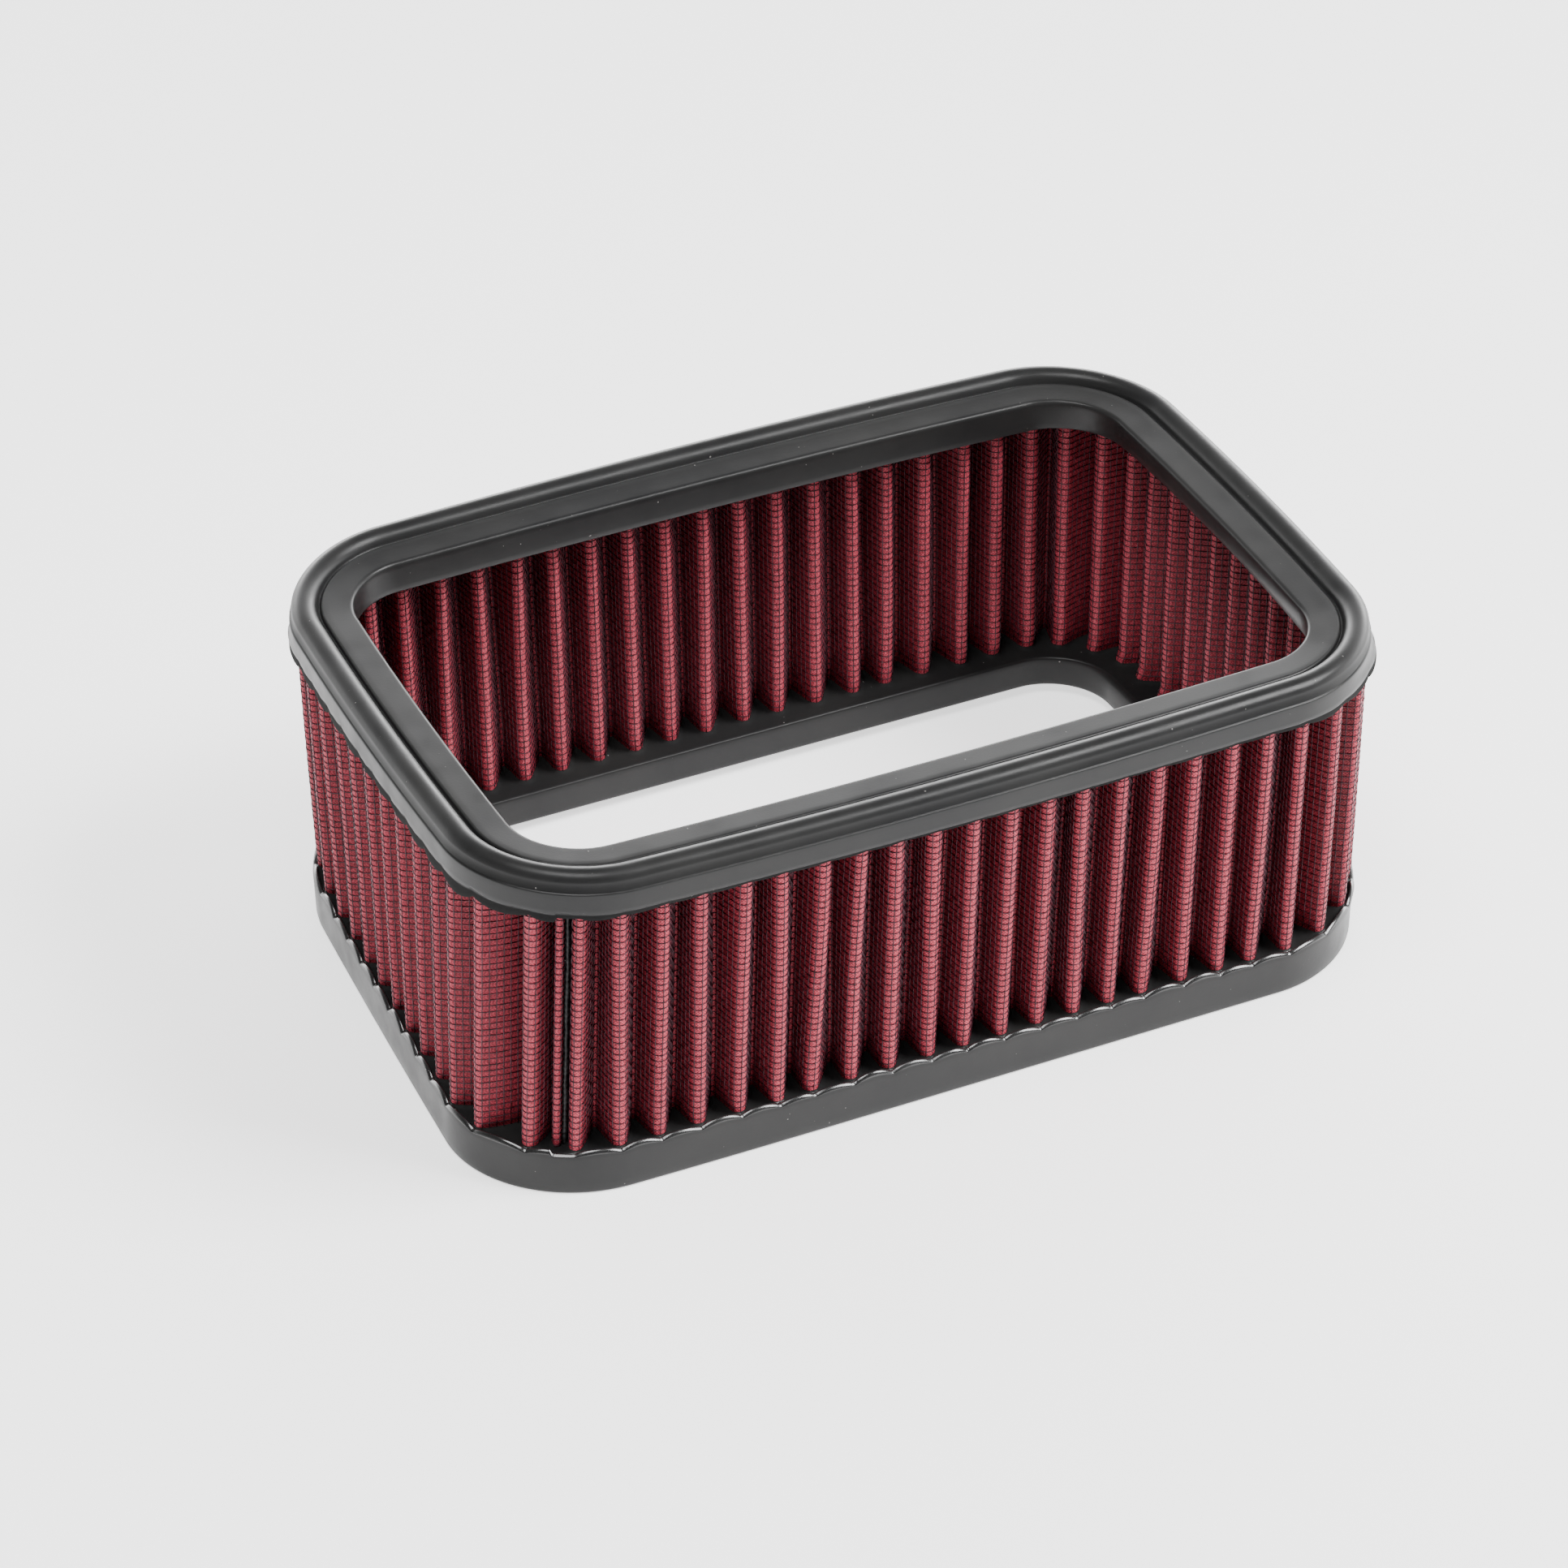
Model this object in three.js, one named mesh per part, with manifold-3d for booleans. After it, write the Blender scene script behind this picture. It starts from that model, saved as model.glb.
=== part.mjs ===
// A panel-ring air filter element: a pleated pack of oiled cotton gauze between two wire screens,
// bent into a rounded rectangle and moulded into a soft rubber cap at each end.
// Units are millimetres. X is the long way, Y the short way, Z is up, and Z = 0 is the bottom rim.
import * as THREE from "three";
import { mergeVertices } from "three/addons/utils/BufferGeometryUtils.js";
import Module from "manifold-3d";

const wasm = await Module();
wasm.setup();

// Overall outline: a rounded rectangle whose sides bow outwards a little.
const HALF_LENGTH = 71.5;
const HALF_WIDTH = 47.2;
const CORNER_RADIUS = 19.7;
const END_BOW = 1.75;
const SIDE_BOW = 1.2;
const HEIGHT = 56;
const MID_HEIGHT = HEIGHT / 2;

// How finely the outline is stepped.
const CORNER_STEPS = 7;
const LONG_SIDE_STEPS = 6;
const SHORT_SIDE_STEPS = 4;

// End cap section. INSET is measured inwards from the skirt, RISE outwards from the pack side.
const CAP_RISE = 6.8;
const PACK_SIDE_FROM_MIDDLE = MID_HEIGHT - CAP_RISE;
const SKIRT_RISE = 3.9;
const BEAD_INSET = 2.3;
const BEAD_RADIUS = 2.0;
const BEAD_FLAT = 0.9;
const BEAD_CENTRE_RISE = CAP_RISE - BEAD_RADIUS;
const RIM_BREAK = 0.5;
const GROOVE_INSET = 4.6;
const GROOVE_RISE = 4.95;
const LEDGE_RISE = 5.5;
const LEDGE_START = 5.4;
const OPENING_INSET = 9.75;
const STEP_INSET = 0.35;
const EDGE_BREAK = 0.2;

// Pleated pack: the middle line of the folds zigzags either side of a line inside the skirt.
const PLEATS = 69;
const FOLD_LINE_INSET = 3.75;
const FOLD_DEPTH = 4.85;
const CREST_WIDTH = 1.7;
const PITCH_DRIFT = 1.6;
const SCREEN_THICKNESS = 0.22;
const PLY_THICKNESS = 0.16;
const PLY_COUNT = 4;
const LAYER_GAP = 0.04;
const POTTED_DEPTH = 2.2;
const SLOT_GAP = 0.3;

// The strip's two ends meet halfway down one fold, at a front corner, with a bead of sealant between.
const SEAM_ANGLE_IN_CORNER = THREE.MathUtils.degToRad(57.3);
const SEAM_OPENING = 1.6;
const SEAM_BEAD_WIDTH = 1.0;

const RUBBER = { color: 0x232325, roughness: 0.42, metalness: 0 };
const GAUZE = { color: 0x8a2432, roughness: 0.85, metalness: 0 };
const COATED_WIRE = { color: 0x4a2f36, roughness: 0.5, metalness: 0.5 };
const SEALANT = { color: 0x141415, roughness: 0.35, metalness: 0 };

const PACK_LOWEST = MID_HEIGHT - PACK_SIDE_FROM_MIDDLE - POTTED_DEPTH;
const PACK_HIGHEST = MID_HEIGHT + PACK_SIDE_FROM_MIDDLE + POTTED_DEPTH;
const PACK_THICKNESS = 2 * SCREEN_THICKNESS + PLY_COUNT * PLY_THICKNESS + (PLY_COUNT + 1) * LAYER_GAP;
const CORNER_X = HALF_LENGTH - CORNER_RADIUS;
const CORNER_Y = HALF_WIDTH - CORNER_RADIUS;

// The outline's four straights and four corners, anticlockwise from the front left corner's start.
// Each stretch gives its length at an inset, and the point and outward normal part way along it.
function corner(centreX, centreY, startAngle) {
  return {
    steps: CORNER_STEPS,
    length: (inset) => (CORNER_RADIUS - inset) * (Math.PI / 2),
    at: (part, inset) => {
      const angle = startAngle + (part * Math.PI) / 2;
      const normal = new THREE.Vector2(Math.cos(angle), Math.sin(angle));
      const point = new THREE.Vector2(centreX, centreY).addScaledVector(normal, CORNER_RADIUS - inset);
      return { point, normal };
    },
  };
}

function straight(startX, startY, endX, endY, normalX, normalY, steps) {
  const start = new THREE.Vector2(startX, startY);
  const end = new THREE.Vector2(endX, endY);
  const normal = new THREE.Vector2(normalX, normalY);
  return {
    steps,
    length: () => start.distanceTo(end),
    at: (part, inset) => {
      const point = start.clone().lerp(end, part).addScaledVector(normal, CORNER_RADIUS - inset);
      return { point, normal: normal.clone() };
    },
  };
}

const OUTLINE = [
  corner(-CORNER_X, -CORNER_Y, Math.PI),
  straight(-CORNER_X, -CORNER_Y, CORNER_X, -CORNER_Y, 0, -1, LONG_SIDE_STEPS),
  corner(CORNER_X, -CORNER_Y, -Math.PI / 2),
  straight(CORNER_X, -CORNER_Y, CORNER_X, CORNER_Y, 1, 0, SHORT_SIDE_STEPS),
  corner(CORNER_X, CORNER_Y, 0),
  straight(CORNER_X, CORNER_Y, -CORNER_X, CORNER_Y, 0, 1, LONG_SIDE_STEPS),
  corner(-CORNER_X, CORNER_Y, Math.PI / 2),
  straight(-CORNER_X, CORNER_Y, -CORNER_X, -CORNER_Y, -1, 0, SHORT_SIDE_STEPS),
];

const FOLD_LINE_LENGTH = OUTLINE.reduce((sum, stretch) => sum + stretch.length(FOLD_LINE_INSET), 0);
const SEAM_FROM_START = SEAM_ANGLE_IN_CORNER * (CORNER_RADIUS - FOLD_LINE_INSET);
const FRONT_MIDDLE_FROM_SEAM = OUTLINE[0].length(FOLD_LINE_INSET) + CORNER_X - SEAM_FROM_START;

// The point and normal at a distance along the outline at the given inset, wrapping round.
function pointAlong(distance, inset) {
  const total = OUTLINE.reduce((sum, stretch) => sum + stretch.length(inset), 0);
  let left = ((distance % total) + total) % total;
  for (const stretch of OUTLINE) {
    const length = stretch.length(inset);
    if (left <= length) return stretch.at(left / length, inset);
    left -= length;
  }
  return OUTLINE[0].at(0, inset);
}

// The ring relaxes outwards between its corners, so every wall bows a little.
function relax(geometry) {
  const position = geometry.getAttribute("position");
  for (let i = 0; i < position.count; i++) {
    const x = position.getX(i);
    const y = position.getY(i);
    const endBow = (END_BOW / HALF_LENGTH) * (1 - (y / HALF_WIDTH) ** 2);
    const sideBow = (SIDE_BOW / HALF_WIDTH) * (1 - (x / HALF_LENGTH) ** 2);
    position.setXY(i, x * (1 + endBow), y * (1 + sideBow));
  }
  return geometry;
}

function toSolid(geometry) {
  const bare = geometry.clone();
  bare.deleteAttribute("normal");
  bare.deleteAttribute("uv");
  const merged = mergeVertices(bare, 1e-4);
  return new wasm.Manifold(
    new wasm.Mesh({
      numProp: 3,
      vertProperties: new Float32Array(merged.getAttribute("position").array),
      triVerts: new Uint32Array(merged.index.array),
    }),
  );
}

function toGeometry(solid) {
  const mesh = solid.getMesh();
  const geometry = new THREE.BufferGeometry();
  geometry.setAttribute("position", new THREE.BufferAttribute(mesh.vertProperties, 3));
  geometry.setIndex(new THREE.BufferAttribute(mesh.triVerts, 1));
  geometry.computeVertexNormals();
  return geometry;
}

// The cap's section as [inset, rise] pairs, from the skirt's free edge to the opening. The top cap's
// skirt stops at a step under a rounded bead; the bottom cap's runs straight on to a square rim.
function capSection(side) {
  const beadPoint = (degrees) => {
    const angle = THREE.MathUtils.degToRad(degrees);
    const inset = BEAD_INSET - BEAD_RADIUS * Math.cos(angle);
    return [inset, BEAD_CENTRE_RISE + BEAD_RADIUS * Math.sin(angle)];
  };
  const stepAndBead = [
    [0, SKIRT_RISE],
    [STEP_INSET, SKIRT_RISE + EDGE_BREAK],
    beadPoint(15),
    beadPoint(45),
    [BEAD_INSET - BEAD_FLAT / 2, CAP_RISE],
  ];
  const squareRim = [
    [0, CAP_RISE - RIM_BREAK],
    [RIM_BREAK, CAP_RISE],
  ];
  return [
    [EDGE_BREAK, 0],
    [0, EDGE_BREAK],
    ...(side > 0 ? stepAndBead : squareRim),
    [BEAD_INSET + BEAD_FLAT / 2, CAP_RISE],
    beadPoint(135),
    beadPoint(168),
    [GROOVE_INSET, GROOVE_RISE],
    [GROOVE_INSET + 2 * EDGE_BREAK, LEDGE_RISE - EDGE_BREAK],
    [LEDGE_START, LEDGE_RISE],
    [OPENING_INSET - EDGE_BREAK, LEDGE_RISE],
    [OPENING_INSET, LEDGE_RISE - EDGE_BREAK],
    [OPENING_INSET, 0],
  ];
}

// Sweeps the section once round the outline. side is 1 for the top cap and -1 for the bottom one,
// whose section runs the other way so that its faces still point outwards.
function sweptCap(side) {
  const section = side > 0 ? capSection(side) : capSection(side).reverse();
  const stations = OUTLINE.flatMap(({ steps, at }) =>
    Array.from({ length: steps }, (_, step) => at(step / steps, 0)),
  );
  const vertices = [];
  for (const { point, normal } of stations) {
    for (const [inset, rise] of section) {
      const height = MID_HEIGHT + side * (PACK_SIDE_FROM_MIDDLE + rise);
      vertices.push(point.x - inset * normal.x, point.y - inset * normal.y, height);
    }
  }
  const faces = [];
  const vertexAt = (row, column) =>
    (row % stations.length) * section.length + (column % section.length);
  for (let row = 0; row < stations.length; row++) {
    for (let column = 0; column < section.length; column++) {
      const here = vertexAt(row, column);
      const above = vertexAt(row, column + 1);
      const ahead = vertexAt(row + 1, column);
      const aheadAbove = vertexAt(row + 1, column + 1);
      faces.push(here, ahead, above, above, ahead, aheadAbove);
    }
  }
  const geometry = new THREE.BufferGeometry();
  geometry.setAttribute("position", new THREE.Float32BufferAttribute(vertices, 3));
  geometry.setIndex(faces);
  return geometry;
}

// Distance of a crest from the seam, along the fold line. Even numbers are outer crests. The folds
// crowd a little along the front and spread along the back.
function crestDistance(number) {
  const even = ((number + 0.5) * FOLD_LINE_LENGTH) / (2 * PLEATS);
  const swing = (distance) =>
    Math.sin((2 * Math.PI * (distance - FRONT_MIDDLE_FROM_SEAM)) / FOLD_LINE_LENGTH);
  return even - PITCH_DRIFT * (swing(even) - swing(0));
}

// The middle line of every fold, as two points for each flat-topped crest, starting after the seam.
function foldLine() {
  const points = [];
  for (let number = 0; number < 2 * PLEATS; number++) {
    const { point, normal } = pointAlong(SEAM_FROM_START + crestDistance(number), FOLD_LINE_INSET);
    const along = new THREE.Vector2(-normal.y, normal.x);
    const reach = (number % 2 === 0 ? FOLD_DEPTH : -FOLD_DEPTH) / 2;
    const crest = point.clone().addScaledVector(normal, reach);
    points.push(crest.clone().addScaledVector(along, -CREST_WIDTH / 2));
    points.push(crest.clone().addScaledVector(along, CREST_WIDTH / 2));
  }
  return points;
}

// The seam's middle, halfway between the last inner crest and the first outer one, and its direction.
function seamPlace(line) {
  const first = line[0];
  const last = line[line.length - 1];
  const along = first.clone().sub(last).normalize();
  return { middle: first.clone().add(last).multiplyScalar(0.5), along };
}

// A line moved sideways by a distance, outwards when positive, with mitred corners.
function offsetLine(line, distance, closed) {
  const outwards = (from, to) => {
    const along = to.clone().sub(from).normalize();
    return new THREE.Vector2(along.y, -along.x);
  };
  return line.map((point, i) => {
    const before = i > 0 || closed ? line.at(i - 1) : null;
    const after = i < line.length - 1 || closed ? line[(i + 1) % line.length] : null;
    const normalBefore = outwards(before ?? point, before ? point : after);
    const normalAfter = outwards(after ? point : before, after ?? point);
    const mitre = normalBefore.clone().add(normalAfter);
    mitre.divideScalar(1 + normalBefore.dot(normalAfter));
    return point.clone().addScaledVector(mitre, distance);
  });
}

function upright(shape, lowest, highest) {
  const settings = { depth: highest - lowest, bevelEnabled: false };
  return relax(new THREE.ExtrudeGeometry(shape, settings).translate(0, 0, lowest));
}

// One layer of the pack: an open strip from one side of the seam round to the other.
function pleatedLayer(outerOffset, thickness) {
  const folds = foldLine();
  const { middle, along } = seamPlace(folds);
  const start = middle.clone().addScaledVector(along, SEAM_OPENING / 2);
  const end = middle.clone().addScaledVector(along, -SEAM_OPENING / 2);
  const line = [start, ...folds, end];
  const outer = offsetLine(line, outerOffset, false);
  const inner = offsetLine(line, outerOffset - thickness, false);
  return upright(new THREE.Shape([...outer, ...inner.reverse()]), PACK_LOWEST, PACK_HIGHEST);
}

function seamBead() {
  const { middle, along } = seamPlace(foldLine());
  const across = new THREE.Vector2(along.y, -along.x);
  const cornerAt = (alongSign, acrossSign) =>
    middle
      .clone()
      .addScaledVector(along, (alongSign * SEAM_BEAD_WIDTH) / 2)
      .addScaledVector(across, (acrossSign * PACK_THICKNESS) / 2);
  const section = [cornerAt(-1, -1), cornerAt(1, -1), cornerAt(1, 1), cornerAt(-1, 1)];
  return upright(new THREE.Shape(section), PACK_LOWEST, PACK_HIGHEST);
}

// The space that the pack's end takes up in a cap, all round, with a clearance on every side.
function packSlot(side) {
  const reach = PACK_THICKNESS / 2 + SLOT_GAP;
  const shape = new THREE.Shape(offsetLine(foldLine(), reach, true));
  shape.holes.push(new THREE.Path(offsetLine(foldLine(), -reach, true)));
  const mouth = MID_HEIGHT + side * (PACK_SIDE_FROM_MIDDLE - POTTED_DEPTH);
  const floor = MID_HEIGHT + side * (PACK_SIDE_FROM_MIDDLE + POTTED_DEPTH + SLOT_GAP);
  return upright(shape, Math.min(mouth, floor), Math.max(mouth, floor));
}

function endCap(side) {
  return toGeometry(toSolid(relax(sweptCap(side))).subtract(toSolid(packSlot(side))));
}

function part(name, geometry, finish) {
  const mesh = new THREE.Mesh(geometry, new THREE.MeshStandardMaterial(finish));
  mesh.name = name;
  return mesh;
}

const filter = new THREE.Group();
filter.add(part("top_end_cap", endCap(1), RUBBER));
filter.add(part("bottom_end_cap", endCap(-1), RUBBER));
filter.add(part("pack_seam_bead", seamBead(), SEALANT));

// The layers lie one inside the other, from the outer screen in.
let offset = PACK_THICKNESS / 2;
filter.add(part("outer_wire_screen", pleatedLayer(offset, SCREEN_THICKNESS), COATED_WIRE));
offset -= SCREEN_THICKNESS + LAYER_GAP;
for (let ply = 1; ply <= PLY_COUNT; ply++) {
  filter.add(part(`gauze_ply_${ply}`, pleatedLayer(offset, PLY_THICKNESS), GAUZE));
  offset -= PLY_THICKNESS + LAYER_GAP;
}
filter.add(part("inner_wire_screen", pleatedLayer(offset, SCREEN_THICKNESS), COATED_WIRE));

export default filter;
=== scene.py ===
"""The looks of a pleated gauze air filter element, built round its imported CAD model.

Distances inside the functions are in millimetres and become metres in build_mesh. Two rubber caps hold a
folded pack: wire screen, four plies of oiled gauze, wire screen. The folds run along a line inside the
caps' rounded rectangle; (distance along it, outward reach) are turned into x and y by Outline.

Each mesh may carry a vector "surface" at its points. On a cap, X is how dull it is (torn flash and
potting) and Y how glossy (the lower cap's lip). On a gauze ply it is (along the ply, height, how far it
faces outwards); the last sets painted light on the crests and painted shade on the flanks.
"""
import math

import bpy
import numpy as np
from mathutils import Matrix, Vector


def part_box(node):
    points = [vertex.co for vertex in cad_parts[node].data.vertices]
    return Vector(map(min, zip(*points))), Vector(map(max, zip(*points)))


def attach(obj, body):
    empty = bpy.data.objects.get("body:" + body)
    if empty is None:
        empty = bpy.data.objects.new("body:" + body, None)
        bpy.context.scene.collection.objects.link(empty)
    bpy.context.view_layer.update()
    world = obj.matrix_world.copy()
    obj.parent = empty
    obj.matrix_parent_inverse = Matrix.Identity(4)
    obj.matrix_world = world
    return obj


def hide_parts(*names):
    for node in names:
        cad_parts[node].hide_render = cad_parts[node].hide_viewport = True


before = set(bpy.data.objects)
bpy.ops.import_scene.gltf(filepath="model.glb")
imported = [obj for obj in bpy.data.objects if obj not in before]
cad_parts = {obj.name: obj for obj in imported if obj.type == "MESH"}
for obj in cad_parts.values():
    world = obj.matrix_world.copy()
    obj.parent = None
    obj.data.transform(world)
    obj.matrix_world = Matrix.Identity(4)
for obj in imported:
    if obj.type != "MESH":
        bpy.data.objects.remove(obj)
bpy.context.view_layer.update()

MM = 0.001

# ---------------------------------------------------------------- driving dimensions, in millimetres
TOP_CAP_LOW, TOP_CAP_HIGH = (np.array(corner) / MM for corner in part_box("top_end_cap"))
PACK_LOW, PACK_HIGH = (np.array(corner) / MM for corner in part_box("gauze_ply_1"))
HEIGHT = TOP_CAP_HIGH[2]
MID_HEIGHT = HEIGHT / 2
PACK_SIDE = TOP_CAP_LOW[2] - MID_HEIGHT
CAP_RISE = HEIGHT - TOP_CAP_LOW[2]

END_BOW = 1.75
CAD_SIDE_BOW = 1.2
SIDE_BOW_TOP = 2.4
SIDE_BOW_BOTTOM = 0.0
LEFT_FOOT_BOW = 0.5
LEFT_FOOT_SHIFT = -0.45
LEFT_FOOT_SKEW = 2.2
LEFT_FOOT_TUCK = 1.0  # of the front left foot, towards the rear
FOOT_SHIFT = -0.2  # of the whole foot, towards the front
RIGHT_BULGE = 2.0  # of the right end's pleats, between the caps
BULGE_START, BULGE_RISE = 5.0, 4.0  # above the floor, and the height over which the bulge grows
BULGE_END, BULGE_FALL = 4.0, 3.5  # below the top, and the height over which it fades
HALF_LENGTH = TOP_CAP_HIGH[0] - END_BOW
HALF_WIDTH = TOP_CAP_HIGH[1] - CAD_SIDE_BOW
CORNER_RADIUS = 19.7
OPENING_INSET = 9.75

PLEATS = 69
FOLD_LINE_INSET = 3.75
FOLD_DEPTH = 4.7
FOLD_RADIUS = 0.74
SEAM_FOLD_RADIUS = 0.48
LEAN = 0.95  # of the inner crests along the pack, past the middle between two outer ones
INNER_REACH = 0.3  # of the inner crests, beyond half the fold's depth
REACH_SPREAD = 0.07
RADIUS_SPREAD = 0.035
SHIFT_SPREAD = 0.15
SWAY_SPREAD = 0.15
PITCH_DRIFT = 1.6  # how far the pleats crowd towards one side of the ring
GAUZE_HALF = 0.47  # half the thickness of the four plies together
PLY_THICKNESS = 0.16
PLY_STEP = (2 * GAUZE_HALF - PLY_THICKNESS) / 3
SEAM_ANGLE_IN_CORNER = math.radians(57.3)

SEAM_SHIFT = 1.1  # of the seam and the folds beside it, along the pack
SEAM_SHIFT_SHARES = (0.5, 1.3, 1.0, 1.0)  # of that shift, for the last four crests before the seam
STRIP_END_SETBACK = 1.0  # of the strip's turned-over end, back from the seam
STRIP_END_REACH = 1.0
STRIP_END_RADIUS = 0.2
STRIP_END_TAIL = 1.5
LAST_FOLD_SETBACK = 2.05
STRIP_START_REACH = -1.9
STRIP_START_SLOPE = 0.06

SEALANT_HALF_WIDTH = 0.46
SEALANT_HALF_DEPTH = 1.45
SEALANT_REACH = -0.55
SEALANT_SIDES = 12

CAP_STATIONS = 1500
BEAD_INSET, BEAD_RADIUS = 2.3, 2.0
LIP_INSET, LIP_RISE, LIP_RADIUS = 5.22, 5.05, 0.45  # the rounded edge between the groove and the ledge
LEDGE_SLOPE = 0.07
LEDGE_EDGE_RADIUS = 0.7
LEDGE_EDGE_RISE = 4.53
CREEP_HEIGHT = 0.5  # of the set rubber, up the gauze
CREEP_WIDTH = 0.28
FLARE = 0.7  # of the torn flash under the top cap's skirt, outwards
FLARE_ANGLE = math.radians(-25.5)
FLARE_SPAN = 0.14
POTTING_DULLNESS = 0.8

WIRE_PITCH = 1.05
WIRE_RADIUS = 0.095
WIRE_SIDES = 4
WEAVE_WAVE = 0.4 * WIRE_RADIUS  # of the rows and columns, over and under each other
THREAD_PITCH = 0.48
BULGE = 0.09  # of the gauze between the wires

# ---------------------------------------------------------------- camera and light
CAMERA_AZIMUTH, CAMERA_ELEVATION, CAMERA_ROLL = (math.radians(degrees) for degrees in (-25.53, 35.86, 0.27))
CAMERA_TARGET = (-8.94, -3.68, 28.45)
CAMERA_DISTANCE = 827.8
CAMERA_LENS = 128.87
FLOOR_HALF_SIZE = 3000.0
FLOOR_GLOW = 1.4
WORLD_STRENGTH = 14.0
KEY_POWER = 26
OVERHEAD_POWER = 11


# ---------------------------------------------------------------- outline and folds
class Outline:
    """Four corners and four straights, anticlockwise from the front left corner's start."""

    def __init__(self):
        x = HALF_LENGTH - CORNER_RADIUS
        y = HALF_WIDTH - CORNER_RADIUS
        centres = [(-x, -y), (x, -y), (x, y), (-x, y)]
        turns = [math.pi, 1.5 * math.pi, 2 * math.pi, 2.5 * math.pi, 3 * math.pi]
        starts, ends, first_angles, last_angles = [], [], [], []
        for i in range(4):
            starts += [centres[i], centres[i]]
            ends += [centres[i], centres[(i + 1) % 4]]
            first_angles += [turns[i], turns[i + 1]]
            last_angles += [turns[i + 1], turns[i + 1]]
        self.starts, self.ends = np.array(starts, float), np.array(ends, float)
        self.first, self.last = np.array(first_angles), np.array(last_angles)

    def lengths(self, inset):
        straight = np.linalg.norm(self.ends - self.starts, axis=1)
        return straight + (CORNER_RADIUS - inset) * (self.last - self.first)

    def total(self, inset):
        return float(self.lengths(inset).sum())

    def locate(self, distance, inset):
        """The centre of curvature and the normal's angle at a distance along the line at this inset."""
        lengths = self.lengths(inset)
        marks = np.concatenate([[0], np.cumsum(lengths)])
        wrapped = np.mod(distance, marks[-1])
        stretch = np.clip(np.searchsorted(marks, wrapped, side="right") - 1, 0, 7)
        part = (wrapped - marks[stretch]) / lengths[stretch]
        centre = self.starts[stretch] + (self.ends - self.starts)[stretch] * part[..., None]
        angle = self.first[stretch] + (self.last - self.first)[stretch] * part
        return centre, angle, stretch % 2 == 0

    def point(self, distance, line_inset, reach):
        """x, y at a distance along the line at line_inset, moved outwards by reach."""
        centre, angle, _ = self.locate(distance, line_inset)
        radius = CORNER_RADIUS - line_inset + reach
        outwards = np.stack([np.cos(angle), np.sin(angle)], -1)
        return centre + np.asarray(radius)[..., None] * outwards


OUTLINE = Outline()
FOLD_LINE = OUTLINE.total(FOLD_LINE_INSET)
FOLD_LINE_RADIUS = CORNER_RADIUS - FOLD_LINE_INSET
SEAM_START = SEAM_ANGLE_IN_CORNER * FOLD_LINE_RADIUS
FRONT_MIDDLE = FOLD_LINE_RADIUS * math.pi / 2 + (HALF_LENGTH - CORNER_RADIUS) - SEAM_START


def relax(points):
    """The ring bows outwards between its corners, its left foot is askew and its right end bulges."""
    x, y, z = points[..., 0], points[..., 1], points[..., 2]
    level = z / HEIGHT
    left, right = np.clip(-x / HALF_LENGTH, 0, 1), np.clip(x / HALF_LENGTH, 0, 1)
    grown = np.clip((z - BULGE_START) / BULGE_RISE, 0, 1)
    between_caps = grown * np.clip((HEIGHT - BULGE_END - z) / BULGE_FALL, 0, 1)
    left_bow = LEFT_FOOT_BOW + (END_BOW - LEFT_FOOT_BOW) * level
    end_bow = np.where(x < 0, left_bow, END_BOW + RIGHT_BULGE * between_caps)
    side_bow = SIDE_BOW_BOTTOM + (SIDE_BOW_TOP - SIDE_BOW_BOTTOM) * level
    out = np.empty_like(points)
    out[..., 0] = x + end_bow * (right - left) * (1 - (y / HALF_WIDTH) ** 2)
    out[..., 0] += (LEFT_FOOT_SHIFT + LEFT_FOOT_SKEW * y / HALF_WIDTH) * (1 - level) * left ** 2
    out[..., 1] = y * (1 + side_bow / HALF_WIDTH * (1 - (x / HALF_LENGTH) ** 2))
    out[..., 1] += FOOT_SHIFT * (1 - level)
    out[..., 1] += LEFT_FOOT_TUCK * (1 - level) * left ** 4 * np.clip(-y / HALF_WIDTH, 0, 1)
    out[..., 2] = z
    return out


def crest_distances():
    """Where each crest sits along the fold line, outer and inner in turn, from just after the seam."""
    even = (np.arange(2 * PLEATS) + 0.5) * FOLD_LINE / (2 * PLEATS)
    swing = np.sin(2 * np.pi * (even - FRONT_MIDDLE) / FOLD_LINE)
    return even - PITCH_DRIFT * (swing - math.sin(-2 * np.pi * FRONT_MIDDLE / FOLD_LINE))


def narrowing(distance, reach):
    """Millimetres along the fold line for each one at this reach: under 1 outside the line in a corner."""
    _, _, in_corner = OUTLINE.locate(SEAM_START + distance, FOLD_LINE_INSET)
    return np.where(in_corner, FOLD_LINE_RADIUS / (FOLD_LINE_RADIUS + reach), 1.0)


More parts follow.
